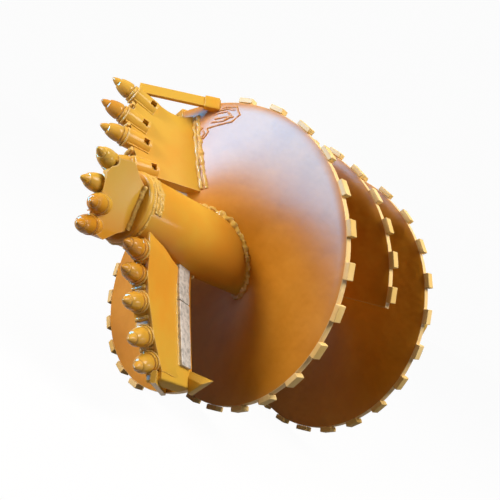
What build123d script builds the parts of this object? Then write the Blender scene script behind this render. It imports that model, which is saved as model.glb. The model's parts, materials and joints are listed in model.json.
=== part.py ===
from build123d import *
import os
from math import asin, atan, cos, degrees, pi, radians, sin

os.makedirs("parts", exist_ok=True)

# A rock auger for rotary drilling, in millimetres. It is modelled about its own axis: Z runs from the
# cutting tip to the drive end with zero where the flights start, X points to the upper cutter, and
# clock angles turn from X to Y. At the end the whole tool is laid on the ground, as it is stored.

# Flights
FLIGHT_RADIUS = 480.0
FLIGHT_THICKNESS = 25.0
FLIGHT_LEAD = 540.0
MAIN_START = 0.0
MAIN_END = 630.0
MAIN_SECTIONS = 4
SECOND_START = 180.0
SECOND_END = 468.0
SECOND_SECTIONS = 2
LEAD_IN = 16.0

# Wear blocks on the rims
BLOCK_LENGTH = 52.0
BLOCK_WIDTH = 32.0
BLOCK_HEIGHT = 17.0
MAIN_BLOCK_PITCH = 14.4
MAIN_BLOCK_PHASE = 17.0
SECOND_BLOCK_PITCH = 12.9
SECOND_BLOCK_PHASE = 11.45
BLOCK_CLEAR_OF_CUTTER = 14.0

# Core tube and its front cap
TUBE_RADIUS = 109.5
TUBE_WALL = 25.0
TUBE_FRONT = -271.0
TUBE_BEHIND_FLIGHT = 70.0
CAP_THICKNESS = 20.0
CAP_CHAMFER = 5.0

# Drive box on the back end of the tube
DRIVE_BASE_RADIUS = 160.0
DRIVE_BASE_THICKNESS = 30.0
DRIVE_WALL = 44.0
DRIVE_LENGTH = 300.0
DRIVE_CORNER = 30.0
SOCKET_WIDTH = 202.0
SOCKET_DEPTH = 250.0
DRIVE_PIN_RADIUS = 35.0
DRIVE_PIN_FROM_MOUTH = 110.0
GUSSET_LENGTH = 65.0
GUSSET_HEIGHT = 35.0
GUSSET_THICKNESS = 20.0
GUSSET_COUNT = 4

# Bullet teeth and their sleeves
TOOTH_COLLAR_RADIUS = 28.5
TOOTH_COLLAR_HEIGHT = 9.0
TOOTH_NECK_RADIUS = 22.0
TOOTH_NECK_HEIGHT = 6.0
TOOTH_BODY_RADIUS = 26.5
TOOTH_NOSE_RADIUS = 13.0
TOOTH_NOSE_HEIGHT = 62.0
TIP_RADIUS = 11.5
TIP_SHOULDER = 64.0
TIP_FLAT_RADIUS = 2.0
TOOTH_HEIGHT = 81.0
SHANK_RADIUS = 19.0
SHANK_LENGTH = 48.0
TAIL_RADIUS = 15.0
TAIL_LENGTH = 26.0
SHANK_CLEARANCE = 0.08
COLLAR_GAP = 0.4
SLEEVE_RADIUS = 30.0
SLEEVE_LENGTH = 85.0
SLOT_WIDTH = 22.0
SLOT_LENGTH = 20.0
SLOT_FROM_BACK = 8.0

# Cutter plates: each stands on a flight's leading edge, leans forward and leads at its outer end. The
# sleeves' axes lie between its two faces, nearer to the trailing one.
CUTTER_ATTACK = 75.0
CUTTER_SWEEP = 11.7
CUTTER_ROOT = 145.0
CUTTER_LEADING = 20.0
CUTTER_TRAILING = 13.0
UPPER_FROM_TUBE = 48.5
LOWER_FROM_TUBE = -29.5
CUTTER_BASE_DEPTH = 60.0
CUTTER_BASE_INSET = 26.0
CUTTER_NOTCH_INSET = 54.0
CUTTER_NOTCH_HEIGHT = 66.0
CUTTER_SEAT_DROP = 20.0
UPPER_SETBACK = 0.0
LOWER_SETBACK = 15.0
SEAT_DEPTH = 150.0
SEAT_SPAN = 30.0
SEAT_INSET = 40.0
SEAT_REACH = 80.0

# Sleeve rows, from the inner tooth out: distance of the sleeve's back end from the tube's wall, height
# of its front end above the flight, the angle it fans outwards, and how far it stands out ahead
SLEEVES_UPPER = [
    dict(from_tube=74.5, height=238.0, fan=-3.0, ahead=0.0),
    dict(from_tube=153.5, height=262.0, fan=10.0, ahead=0.0),
    dict(from_tube=221.5, height=263.0, fan=19.0, ahead=0.0),
    dict(from_tube=305.5, height=229.0, fan=26.0, ahead=0.0),
]
SLEEVES_LOWER = [
    dict(from_tube=33.5, height=278.0, fan=5.0, ahead=15.0),
    dict(from_tube=90.5, height=253.0, fan=6.0, ahead=-7.0),
    dict(from_tube=156.5, height=247.0, fan=15.0, ahead=-7.0),
    dict(from_tube=237.5, height=224.0, fan=22.0, ahead=-7.0),
    dict(from_tube=298.5, height=195.0, fan=24.0, ahead=-7.0),
]

# Gauge bar behind the outer end of each cutter and pointed gauge wing ahead of it
BAR_WIDTH = 34.0
BAR_THICKNESS = 16.0
BAR_CORNER = 2.0
BAR_INSET = 10.0
BAR_FRONT_HEIGHT = 195.0
BAR_FRONT_AHEAD = 127.0
BAR_BACK_TRAIL = 24.0
BAR_EXTRA = 60.0
WING_THICKNESS = 25.0
WING_LIFT = 20.0
WING_BEVEL = 18.0
WING_REACH = 84.0
WING_INNER_INSET = 56.0
WING_TIP_INSET = 6.0
WING_OUTER_STANDOUT = 18.0

# Bare steel strips across the foot of the leading faces
STRIP_THICKNESS = 10.0
STRIP_WIDTH = 74.0
STRIP_LIFT = 24.0
STRIP_FROM_TUBE = 10.0
STRIP_SPLIT = 120.0
STRIP_END_INSET = 44.0
STRIP_BREAK = 4.0

# Pilot: a face plate on the tube's cap, off the axis, with a core behind it that holds the teeth
PILOT_CLOCK = 21.0
PILOT_NEAR = 67.0
PILOT_FAR = 60.0
PILOT_PLATE = 20.0
PILOT_CORE_HEIGHT = 92.0
PILOT_CORE_EDGE = 5.0
PILOT_BACK_HALF = 63.0
PILOT_WAIST_HALF = 84.0
PILOT_HALF = 114.0
PILOT_SIDE_HALF = 102.0
PILOT_NOSE_HALF = 55.0
PILOT_WAIST_HEIGHT = 33.0
PILOT_SHOULDER_HEIGHT = 66.0
PILOT_SIDE_HEIGHT = 118.0
PILOT_NOSE_HEIGHT = 136.0
PILOT_FRONT_HEIGHT = 124.0
PILOT_SLEEVE_RADIUS = 28.5
PILOT_SLEEVE_LENGTH = 22.0
PILOT_RELIEF_RADIUS = 36.0
# Pilot teeth: place across the block, offset from its middle, height of the collar, and the angles at
# which the tooth leans to the side and fans outwards
TEETH_PILOT = [
    dict(place=87.0, offset=27.0, height=108.0, lean=18.0, fan=11.0),
    dict(place=22.0, offset=25.0, height=108.0, lean=10.0, fan=-5.0),
    dict(place=-30.0, offset=67.0, height=119.0, lean=38.0, fan=-7.0),
    dict(place=-90.0, offset=55.0, height=115.0, lean=32.0, fan=-9.0),
]

# Gaps left for the weld seams, and how the tool lies on the ground
WELD_GAP = 0.3
TUBE_WELD_GAP = 0.5
SECTION_GAP = 0.05
ROLL = 31.4


def helix(radius, start, end, axial):
    """Helix of the flights' lead between two clock angles."""
    rise = FLIGHT_LEAD * (end - start) / 360
    edge = Edge.make_helix(FLIGHT_LEAD, rise, radius)
    return edge.moved(Location((0, 0, axial), (0, 0, 1), start))


def helicoid(inner, outer, start, end, axial, thickness):
    """Solid flight between two radii: ruled faces between four helices, closed at both ends."""
    front_in = helix(inner, start, end, axial)
    front_out = helix(outer, start, end, axial)
    back_in = helix(inner, start, end, axial + thickness)
    back_out = helix(outer, start, end, axial + thickness)
    pairs = [(front_in, front_out), (back_in, back_out), (front_in, back_in), (front_out, back_out)]
    faces = [Face.make_surface_from_curves(a, b) for a, b in pairs]
    for at in (0, 1):
        corners = [front_in @ at, front_out @ at, back_out @ at, back_in @ at]
        faces.append(Face(Wire.make_polygon(corners)))
    solid = Solid(Shell(faces))
    return solid if solid.volume > 0 else -solid


def flight_rise(clock, start):
    """Height of a flight's front face at a clock angle."""
    return FLIGHT_LEAD * (clock - start) / 360


tube_back = flight_rise(MAIN_END, MAIN_START) + FLIGHT_THICKNESS + TUBE_BEHIND_FLIGHT

# Cutter frame at clock zero: x outwards along the cutter, y up its slope, z to the trailing side
sweep = radians(CUTTER_SWEEP)
attack = radians(CUTTER_ATTACK)
along = Vector(cos(sweep), -sin(sweep), 0)
ahead = Vector(-sin(sweep), -cos(sweep), 0)
slope = ahead * cos(attack) + Vector(0, 0, -1) * sin(attack)
cutter_origin = Vector(CUTTER_ROOT, 0, 0) - along * CUTTER_ROOT
reference_plane = Plane(origin=cutter_origin, x_dir=along, z_dir=along.cross(slope))

tube_space = Cylinder(TUBE_RADIUS + TUBE_WELD_GAP, 4 * FLIGHT_RADIUS)
seat_space = helicoid(
    TUBE_RADIUS - SEAT_INSET,
    FLIGHT_RADIUS + SEAT_REACH,
    -SEAT_SPAN,
    SEAT_SPAN,
    flight_rise(-SEAT_SPAN, 0) - WELD_GAP,
    SEAT_DEPTH,
)


def cutter_plane(setback):
    """Plane of a cutter's sleeve axes, set back from the reference plane to the trailing side."""
    return reference_plane.offset(setback)


def flight_section(flight_start, start, end, setback):
    """One welded section of a flight, cut to the cutter's line where it leads."""
    leads = start == flight_start
    first = start - LEAD_IN if leads else start + SECTION_GAP
    section = helicoid(
        TUBE_RADIUS + TUBE_WELD_GAP,
        FLIGHT_RADIUS,
        first,
        end - SECTION_GAP,
        flight_rise(first, flight_start),
        FLIGHT_THICKNESS,
    )
    if not leads:
        return section
    size = 4 * FLIGHT_RADIUS
    front = cutter_plane(setback) * Pos(0, 0, -CUTTER_LEADING - size / 2) * Box(size, size, size)
    cut = section - Rot(0, 0, flight_start) * front
    return max(cut.solids(), key=lambda solid: solid.volume)


def wear_block(clock, flight_start):
    """Block on the rim at a clock angle, tilted to the flight's lead."""
    lead_angle = degrees(atan(FLIGHT_LEAD / (2 * pi * FLIGHT_RADIUS)))
    middle = flight_rise(clock, flight_start) + FLIGHT_THICKNESS / 2
    place = Rot(0, 0, clock) * Pos(FLIGHT_RADIUS + WELD_GAP, 0, middle) * Rot(lead_angle, 0, 0)
    block = Box(BLOCK_HEIGHT, BLOCK_LENGTH, BLOCK_WIDTH, align=(Align.MIN, Align.CENTER, Align.CENTER))
    return place * block


def wear_blocks(flight, start, end):
    """All blocks whose whole length lies on one section of a flight's rim."""
    half = degrees(asin(BLOCK_LENGTH / 2 / FLIGHT_RADIUS))
    first = int((start + half - flight["phase"]) // flight["pitch"]) + 1
    last = int((end - flight["phase"]) // flight["pitch"])
    clocks = [flight["phase"] + flight["pitch"] * i for i in range(first, last + 1)]
    clear = [clock for clock in clocks if clock - flight["start"] > BLOCK_CLEAR_OF_CUTTER]
    return [wear_block(clock, flight["start"]) for clock in clear]


def tooth():
    """Bullet tooth about Z: stepped shank below zero, collar, puller groove and ogive head above."""
    shoulder = COLLAR_GAP + TOOTH_COLLAR_HEIGHT
    body = shoulder + TOOTH_NECK_HEIGHT
    head = (TOOTH_BODY_RADIUS, body)
    nose = (TOOTH_NOSE_RADIUS, TOOTH_NOSE_HEIGHT)
    tip = (TIP_RADIUS, TIP_SHOULDER)
    point = (TIP_FLAT_RADIUS, TOOTH_HEIGHT)
    foot = (0, -SHANK_LENGTH - TAIL_LENGTH)
    profile = Polyline(
        foot,
        (TAIL_RADIUS, -SHANK_LENGTH - TAIL_LENGTH),
        (TAIL_RADIUS, -SHANK_LENGTH),
        (SHANK_RADIUS, -SHANK_LENGTH),
        (SHANK_RADIUS, COLLAR_GAP),
        (TOOTH_COLLAR_RADIUS, COLLAR_GAP),
        (TOOTH_COLLAR_RADIUS, shoulder),
        (TOOTH_NECK_RADIUS, shoulder),
        (TOOTH_NECK_RADIUS, body),
        head,
    )
    profile += TangentArc(head, nose, tangent=(0, 1))
    profile += Polyline(nose, (TIP_RADIUS, TOOTH_NOSE_HEIGHT), tip)
    profile += TangentArc(tip, point, tangent=(0, 1))
    profile += Polyline(point, (0, TOOTH_HEIGHT), foot)
    return revolve(Plane.XZ * make_face(profile), Axis.Z)


def sleeve():
    """Tooth sleeve about Z with its front end at zero, a stepped bore and a knock-out slot towards +Y."""
    step = SHANK_LENGTH + COLLAR_GAP
    low = (Align.CENTER, Align.CENTER, Align.MAX)
    body = Cylinder(SLEEVE_RADIUS, SLEEVE_LENGTH, align=low)
    body -= Cylinder(SHANK_RADIUS + SHANK_CLEARANCE, step, align=low)
    body -= Cylinder(TAIL_RADIUS + SHANK_CLEARANCE, SLEEVE_LENGTH, align=low)
    slot = Box(SLOT_WIDTH, SLEEVE_RADIUS, SLOT_LENGTH, align=(Align.CENTER, Align.MIN, Align.MIN))
    return body - Pos(0, 0, SLOT_FROM_BACK - SLEEVE_LENGTH) * slot


def pilot_sleeve():
    """Short sleeve about Z for a pilot tooth, with its front end at zero."""
    low = (Align.CENTER, Align.CENTER, Align.MAX)
    body = Cylinder(PILOT_SLEEVE_RADIUS, PILOT_SLEEVE_LENGTH, align=low)
    return body - Cylinder(SHANK_RADIUS + SHANK_CLEARANCE, PILOT_SLEEVE_LENGTH, align=low)


def sleeve_place(row):
    """Place of a sleeve's back end along the cutter."""
    return TUBE_RADIUS + row["from_tube"]


def cutter_seat(row, setback):
    """Frame of a sleeve's front end on the cutter, z along the tooth and y to the trailing side."""
    fan = radians(row["fan"])
    reach = SLEEVE_LENGTH * sin(fan)
    lean = Plane(
        origin=(sleeve_place(row) + reach, row["height"], -row["ahead"]),
        x_dir=(-cos(fan), sin(fan), 0),
        z_dir=(sin(fan), cos(fan), 0),
    )
    return cutter_plane(setback).location * lean.location


def sleeve_space(row, setback):
    """Room that a sleeve and its tooth take up, with the gap for the weld."""
    length = SLEEVE_LENGTH + WELD_GAP + 2 * TOOTH_HEIGHT
    room = Cylinder(SLEEVE_RADIUS + WELD_GAP, length, align=(Align.CENTER, Align.CENTER, Align.MIN))
    return cutter_seat(row, setback) * Pos(0, 0, -SLEEVE_LENGTH - WELD_GAP) * room


def largest(shape):
    """The largest solid of a cut shape."""
    return max(shape.solids(), key=lambda solid: solid.volume)


def cutter_outline(rows, inner):
    """Face of a cutter plate: root on the flight, concave notch, and a front edge under the collars."""
    seats = []
    for row in rows:
        fan = radians(row["fan"])
        drop = SLEEVE_LENGTH - CUTTER_SEAT_DROP
        seats.append((sleeve_place(row) + drop * sin(fan), row["height"] - CUTTER_SEAT_DROP * cos(fan)))
    last = rows[-1]
    fan = radians(last["fan"])
    back_height = last["height"] - SLEEVE_LENGTH * cos(fan)
    edge_x = SLEEVE_RADIUS * cos(fan)
    edge_y = -SLEEVE_RADIUS * sin(fan)
    outer_top = (seats[-1][0] + edge_x, seats[-1][1] + edge_y)
    outer_back = (sleeve_place(last) + edge_x, back_height + edge_y)
    base_outer = FLIGHT_RADIUS - CUTTER_BASE_INSET
    notch = (FLIGHT_RADIUS - CUTTER_NOTCH_INSET, CUTTER_NOTCH_HEIGHT)
    sides = Polyline(
        (base_outer, 0),
        (base_outer, -CUTTER_BASE_DEPTH),
        (inner, -CUTTER_BASE_DEPTH),
        (inner, seats[0][1]),
        *seats,
        outer_top,
        outer_back,
    )
    return make_face(sides + ThreePointArc(outer_back, notch, (base_outer, 0)))


def bar_blank(gap):
    """Flat bar at the rim that runs back into the flight, with a gap all round its section."""
    front = Vector(FLIGHT_RADIUS - BAR_INSET, -BAR_FRONT_AHEAD, -BAR_FRONT_HEIGHT)
    back = Vector(FLIGHT_RADIUS - BAR_INSET, BAR_BACK_TRAIL, 0)
    run = back - front
    plane = Plane(origin=front, x_dir=(1, 0, 0), z_dir=run)
    outline = RectangleRounded(BAR_WIDTH + 2 * gap, BAR_THICKNESS + 2 * gap, BAR_CORNER + gap)
    return extrude(plane * Pos(0, BAR_THICKNESS / 2) * outline, run.length + BAR_EXTRA)


def gauge_bar(rows, setback):
    """Gauge bar from the outer sleeve back to the flight, cut to the flight's face."""
    bar = bar_blank(0) - seat_space
    for row in rows:
        bar -= sleeve_space(row, setback)
    return largest(bar)


def cutter_plate(rows, setback, inner):
    """Cutter plate at clock zero, fitted to the flight, the tube and its sleeves."""
    leading_face = cutter_plane(setback).offset(-CUTTER_LEADING)
    plate = extrude(leading_face * cutter_outline(rows, inner), CUTTER_LEADING + CUTTER_TRAILING)
    plate = plate - seat_space - tube_space - bar_blank(WELD_GAP)
    for row in rows:
        plate -= sleeve_space(row, setback)
    return largest(plate)


def gauge_wing(setback):
    """Pointed plate at the rim ahead of the flight's edge, bevelled along its inner side."""
    edge_ahead = (CUTTER_LEADING - setback) / sin(attack)
    tip = FLIGHT_RADIUS - WING_TIP_INSET
    spread = (WING_REACH + WING_THICKNESS) / WING_REACH
    inner = tip - (WING_INNER_INSET - WING_TIP_INSET) * spread
    outer = tip + (WING_OUTER_STANDOUT + WING_TIP_INSET) * spread
    corners = [(inner, -WING_THICKNESS), (tip, WING_REACH), (outer, -WING_THICKNESS)]
    origin = cutter_origin + ahead * edge_ahead + Vector(0, 0, WING_THICKNESS - WING_LIFT)
    plane = Plane(origin=origin, x_dir=along, z_dir=along.cross(ahead))
    wing = extrude(plane * make_face(Polyline(*corners, close=True)), WING_THICKNESS)
    inner_edge = wing.edges().group_by(Axis.Z)[0].sort_by(Axis((0, 0, 0), along))[0]
    wing = chamfer(inner_edge, WING_BEVEL)
    size = 4 * FLIGHT_RADIUS
    behind = cutter_plane(setback) * Pos(0, 0, size / 2 - CUTTER_LEADING - WELD_GAP) * Box(size, size, size)
    return largest(wing - behind)


def edge_height(place):
    """Height of the flight's front face up the cutter's slope, at a place along the cutter."""
    point = cutter_origin + along * place
    clock = degrees(asin(point.Y / point.length))
    return -flight_rise(clock, 0) / sin(attack)


def edge_strips(setback):
    """Two bare bars across the foot of a leading face, with a break between them."""
    leading_face = cutter_plane(setback).offset(-CUTTER_LEADING - WELD_GAP)
    first = TUBE_RADIUS + STRIP_FROM_TUBE
    split = first + STRIP_SPLIT
    bars = []
    for start, end in [(first, split), (split + STRIP_BREAK, FLIGHT_RADIUS - STRIP_END_INSET)]:
        low = edge_height(start) + STRIP_LIFT
        high = edge_height(end) + STRIP_LIFT
        corners = [(start, low), (end, high), (end, high + STRIP_WIDTH), (start, low + STRIP_WIDTH)]
        bars.append(extrude(leading_face * make_face(Polyline(*corners, close=True)), -STRIP_THICKNESS))
    return bars


pilot_back = TUBE_FRONT - CAP_THICKNESS - 2 * WELD_GAP
pilot_across = Vector(cos(radians(PILOT_CLOCK)), sin(radians(PILOT_CLOCK)), 0)
pilot_side = pilot_across.cross(Vector(0, 0, -1))
pilot_plane = Plane(origin=(0, 0, pilot_back), x_dir=pilot_across, z_dir=pilot_side)


def pilot_seat(row):
    """Frame of a pilot tooth's collar on the block, z along the tooth."""
    fan = radians(row["fan"])
    lean = radians(row["lean"])
    seat = Plane(
        origin=(row["place"], row["height"], row["offset"]),
        x_dir=(cos(fan), -sin(fan), 0),
        z_dir=(sin(fan) * cos(lean), cos(fan) * cos(lean), sin(lean)),
    )
    return pilot_plane.location * seat.location


def pilot_tooth_space():
    """Room for a pilot tooth about Z: relief for the head, pocket for the sleeve and stepped bore."""
    low = (Align.CENTER, Align.CENTER, Align.MAX)
    high = (Align.CENTER, Align.CENTER, Align.MIN)
    space = Cylinder(PILOT_RELIEF_RADIUS, 2 * TOOTH_HEIGHT, align=high)
    space += Cylinder(PILOT_SLEEVE_RADIUS + WELD_GAP, PILOT_SLEEVE_LENGTH + WELD_GAP, align=low)
    space += Cylinder(SHANK_RADIUS + SHANK_CLEARANCE, SHANK_LENGTH + COLLAR_GAP, align=low)
    return space + Cylinder(TAIL_RADIUS + SHANK_CLEARANCE, SLEEVE_LENGTH, align=low)


def pilot_plate():
    """Pilot on the tube's cap: a waisted face plate and a lower core that slopes away behind it."""
    half_outline = [
        (PILOT_BACK_HALF, 0),
        (PILOT_WAIST_HALF, PILOT_WAIST_HEIGHT),
        (PILOT_HALF, PILOT_SHOULDER_HEIGHT),
        (PILOT_SIDE_HALF, PILOT_SIDE_HEIGHT),
        (PILOT_NOSE_HALF, PILOT_NOSE_HEIGHT),
    ]
    mirrored = [(-x, y) for x, y in reversed(half_outline)]
    outline = make_face(Polyline(*half_outline, (0, PILOT_FRONT_HEIGHT), *mirrored, close=True))
    block = extrude(pilot_plane * outline, PILOT_NEAR + PILOT_FAR, both=True)
    plate_back = PILOT_NEAR - PILOT_PLATE
    profile = Polyline(
        (-PILOT_FAR, 0),
        (PILOT_NEAR, 0),
        (PILOT_NEAR, PILOT_NOSE_HEIGHT),
        (plate_back, PILOT_NOSE_HEIGHT),
        (plate_back, PILOT_CORE_HEIGHT),
        (PILOT_CORE_EDGE, PILOT_CORE_HEIGHT),
        (-PILOT_FAR, PILOT_CORE_HEIGHT - PILOT_CORE_EDGE - PILOT_FAR),
        close=True,
    )
    side_normal = pilot_side.cross(Vector(0, 0, -1))
    side_plane = Plane(origin=pilot_plane.origin, x_dir=pilot_side, z_dir=side_normal)
    block &= extrude(side_plane * make_face(profile), PILOT_HALF, both=True)
    for row in TEETH_PILOT:
        block -= pilot_seat(row) * pilot_tooth_space()
    return largest(block)


def core_tube():
    """Thick-walled tube through the flights."""
    length = tube_back - TUBE_FRONT
    ring = Circle(TUBE_RADIUS) - Circle(TUBE_RADIUS - TUBE_WALL)
    return Pos(0, 0, TUBE_FRONT) * extrude(ring, length)


def tube_cap():
    """Disc that closes the tube's front end under the pilot."""
    disc = extrude(Circle(TUBE_RADIUS), -CAP_THICKNESS)
    return Pos(0, 0, TUBE_FRONT - WELD_GAP) * chamfer(disc.edges().sort_by(Axis.Z)[0], CAP_CHAMFER)


drive_width = SOCKET_WIDTH + 2 * DRIVE_WALL
drive_turn = Rot(0, 0, ROLL)
drive_base_back = tube_back + WELD_GAP + DRIVE_BASE_THICKNESS
drive_mouth = drive_base_back + WELD_GAP + DRIVE_LENGTH


def drive_base():
    """Round plate between the tube and the drive box."""
    return Pos(0, 0, tube_back + WELD_GAP) * extrude(Circle(DRIVE_BASE_RADIUS), DRIVE_BASE_THICKNESS)


def drive_box():
    """Square box that takes the drive bar, with a cross hole for the retaining pin."""
    outer = extrude(RectangleRounded(drive_width, drive_width, DRIVE_CORNER), DRIVE_LENGTH)
    socket = extrude(Rectangle(SOCKET_WIDTH, SOCKET_WIDTH), SOCKET_DEPTH)
    box = outer - Pos(0, 0, DRIVE_LENGTH - SOCKET_DEPTH) * socket
    pin = Rot(90, 0, 0) * Cylinder(DRIVE_PIN_RADIUS, 2 * drive_width)
    box -= Pos(0, 0, DRIVE_LENGTH - DRIVE_PIN_FROM_MOUTH) * pin
    return drive_turn * Pos(0, 0, drive_base_back + WELD_GAP) * box


def gussets():
    """Triangular ribs between the tube and the drive box's base plate."""
    start = TUBE_RADIUS + TUBE_WELD_GAP
    rib = make_face(Polyline((start, 0), (start + GUSSET_HEIGHT, 0), (start, -GUSSET_LENGTH), close=True))
    solid = Pos(0, 0, tube_back) * extrude(Plane.XZ * rib, GUSSET_THICKNESS / 2, both=True)
    return [Rot(0, 0, ROLL + 45 + 360 / GUSSET_COUNT * i) * solid for i in range(GUSSET_COUNT)]


def section_breaks(start, end, count):
    """Clock angles between which a flight's welded sections run."""
    step = (end - start) / count
    return [(start + step * i, start + step * (i + 1)) for i in range(count)]


parts = {
    "core_tube": core_tube(),
    "tube_cap": tube_cap(),
    "drive_base": drive_base(),
    "drive_box": drive_box(),
    "drive_gussets": gussets(),
    "pilot_plate": pilot_plate(),
}
tooth_seats = {}

FLIGHTS = [
    dict(
        name="main",
        start=MAIN_START,
        end=MAIN_END,
        count=MAIN_SECTIONS,
        setback=UPPER_SETBACK,
        pitch=MAIN_BLOCK_PITCH,
        phase=MAIN_BLOCK_PHASE,
    ),
    dict(
        name="second",
        start=SECOND_START,
        end=SECOND_END,
        count=SECOND_SECTIONS,
        setback=LOWER_SETBACK,
        pitch=SECOND_BLOCK_PITCH,
        phase=SECOND_BLOCK_PHASE,
    ),
]
for flight in FLIGHTS:
    breaks = section_breaks(flight["start"], flight["end"], flight["count"])
    for number, (start, end) in enumerate(breaks, 1):
        label = f"{flight['name']}_{number}"
        parts["flight_" + label] = flight_section(flight["start"], start, end, flight["setback"])
        parts["wear_blocks_" + label] = wear_blocks(flight, start, end)

CUTTERS = [
    dict(
        name="upper",
        clock=MAIN_START,
        rows=SLEEVES_UPPER,
        setback=UPPER_SETBACK,
        inner=TUBE_RADIUS + UPPER_FROM_TUBE,
    ),
    dict(
        name="lower",
        clock=SECOND_START,
        rows=SLEEVES_LOWER,
        setback=LOWER_SETBACK,
        inner=TUBE_RADIUS + LOWER_FROM_TUBE,
    ),
]
for cutter in CUTTERS:
    name = cutter["name"]
    rows = cutter["rows"]
    setback = cutter["setback"]
    turn = Rot(0, 0, cutter["clock"])
    seats = [turn * cutter_seat(row, setback) for row in rows]
    parts["cutter_plate_" + name] = turn * cutter_plate(rows, setback, cutter["inner"])
    parts["cutter_sleeves_" + name] = [seat * sleeve() for seat in seats]
    parts["gauge_bar_" + name] = turn * gauge_bar(rows, setback)
    parts["gauge_wing_" + name] = turn * gauge_wing(setback)
    parts["edge_strips_" + name] = [turn * bar for bar in edge_strips(setback)]
    for number, seat in enumerate(seats, 1):
        tooth_seats[f"tooth_{name}_{number}"] = seat

pilot_seats = [pilot_seat(row) for row in TEETH_PILOT]
parts["pilot_sleeves"] = [seat * pilot_sleeve() for seat in pilot_seats]
for number, seat in enumerate(pilot_seats, 1):
    tooth_seats[f"tooth_pilot_{number}"] = seat
for name, seat in tooth_seats.items():
    parts[name] = seat * tooth()

# Lay the tool on its side: tip towards -X, rolled so that it rests on pairs of wear blocks, with the
# origin on the ground under the middle of its box
roll = radians(ROLL)
lie = Plane(origin=(0, 0, 0), x_dir=(0, sin(roll), cos(roll)), z_dir=(1, 0, 0)).location
lying = {}
for name, shape in parts.items():
    solids = shape if isinstance(shape, list) else [shape]
    lying[name] = Compound([solid for item in solids for solid in (lie * item).solids()])
box = Compound(list(lying.values())).bounding_box()
to_ground = Location((-box.center().X, -box.center().Y, -box.min.Z))
ground_frame = to_ground * lie
for name, shape in lying.items():
    export_step(to_ground * shape, f"parts/{name}.step")
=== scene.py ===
"""Finish of a rock auger lying on its wear blocks.

Rounds the steel, lays the weld beads, paints it all and sets a pale stage.
"""

import json
import math

import bpy
from mathutils import Matrix, Vector


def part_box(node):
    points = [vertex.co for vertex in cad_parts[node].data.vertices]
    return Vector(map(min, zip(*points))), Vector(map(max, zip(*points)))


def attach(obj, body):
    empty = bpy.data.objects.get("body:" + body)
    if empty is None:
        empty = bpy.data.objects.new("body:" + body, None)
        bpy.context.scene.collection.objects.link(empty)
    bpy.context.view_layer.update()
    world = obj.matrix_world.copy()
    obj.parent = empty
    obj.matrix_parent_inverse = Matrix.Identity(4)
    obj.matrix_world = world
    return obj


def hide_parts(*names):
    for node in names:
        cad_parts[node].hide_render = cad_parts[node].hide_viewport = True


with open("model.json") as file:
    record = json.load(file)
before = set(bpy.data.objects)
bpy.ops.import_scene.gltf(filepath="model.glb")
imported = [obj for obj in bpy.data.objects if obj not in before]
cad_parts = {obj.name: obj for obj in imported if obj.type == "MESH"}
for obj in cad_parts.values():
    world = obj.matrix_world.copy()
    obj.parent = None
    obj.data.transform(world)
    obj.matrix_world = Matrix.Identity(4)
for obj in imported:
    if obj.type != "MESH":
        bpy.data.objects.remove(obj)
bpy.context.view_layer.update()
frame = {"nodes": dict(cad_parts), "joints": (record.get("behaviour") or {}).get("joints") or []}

bl_info = {
    "name": "Rock Auger Finish",
    "version": (1, 0, 0),
    "blender": (4, 5, 0),
    "location": "View3D > Sidebar > Auger",
    "description": "Rounds the steel of a rock auger, adds its weld beads and paint, and sets the stage",
    "category": "Object",
}

BODY = "auger"

# Places of the auger in the frame: its axis, and where its flights start behind the tube's front end
TUBE_FRONT = 0.271
ROLL = math.radians(31.4)
tube_low, tube_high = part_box("core_tube")
AXIS_Y = (tube_low.y + tube_high.y) / 2
AXIS_Z = (tube_low.z + tube_high.z) / 2
START_X = tube_low.x + TUBE_FRONT
TUBE_RADIUS = (tube_high.y - tube_low.y) / 2

# Clock angles between which the flights run, turning from the upper cutter, and setback of their cutters
FLIGHTS = {
    "main": {"start": 0.0, "end": 630.0, "setback": 0.0},
    "second": {"start": 180.0, "end": 468.0, "setback": 0.015},
}

# Making of a flight: degrees turned before its start, sink into the tube, cuts across the plate, degrees
# per step, and the degrees within which its leading edge is cut
FLIGHT_LEAD_IN = 16.0
FLIGHT_SINK = 0.002
FLIGHT_CUTS = 12
FLIGHT_STEP = 2.0
FLIGHT_CUT_REACH = 45.0

# Cutters: lean from the flight, lead of the outer end, place of the root, and distances of the leading
# and the trailing face from the middle plane
CUTTER_ATTACK = math.radians(75.0)
CUTTER_SWEEP = math.radians(11.7)
CUTTER_ROOT = 0.145
CUTTER_LEADING = 0.020
CUTTER_TRAILING = 0.013

# Sides of the round teeth
TOOTH_SIDES = 40

# Tooth outline from the tail to the point: radius and height above the sleeve
TOOTH_OUTLINE = (
    (0.0150, -0.0740),
    (0.0150, -0.0480),
    (0.0190, -0.0480),
    (0.0190, 0.0004),
    (0.0275, 0.0004),
    (0.0285, 0.0014),
    (0.0285, 0.0084),
    (0.0275, 0.0094),
    (0.0238, 0.0098),
    (0.0232, 0.0128),
    (0.0252, 0.0138),
    (0.0265, 0.0155),
    (0.0265, 0.0225),
    (0.0257, 0.0300),
    (0.0240, 0.0385),
    (0.0213, 0.0470),
    (0.0183, 0.0540),
    (0.0168, 0.0562),
    (0.0136, 0.0570),
    (0.0131, 0.0600),
    (0.0121, 0.0645),
    (0.0098, 0.0695),
    (0.0068, 0.0750),
    (0.0036, 0.0792),
    (0.0012, 0.0808),
)

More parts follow.
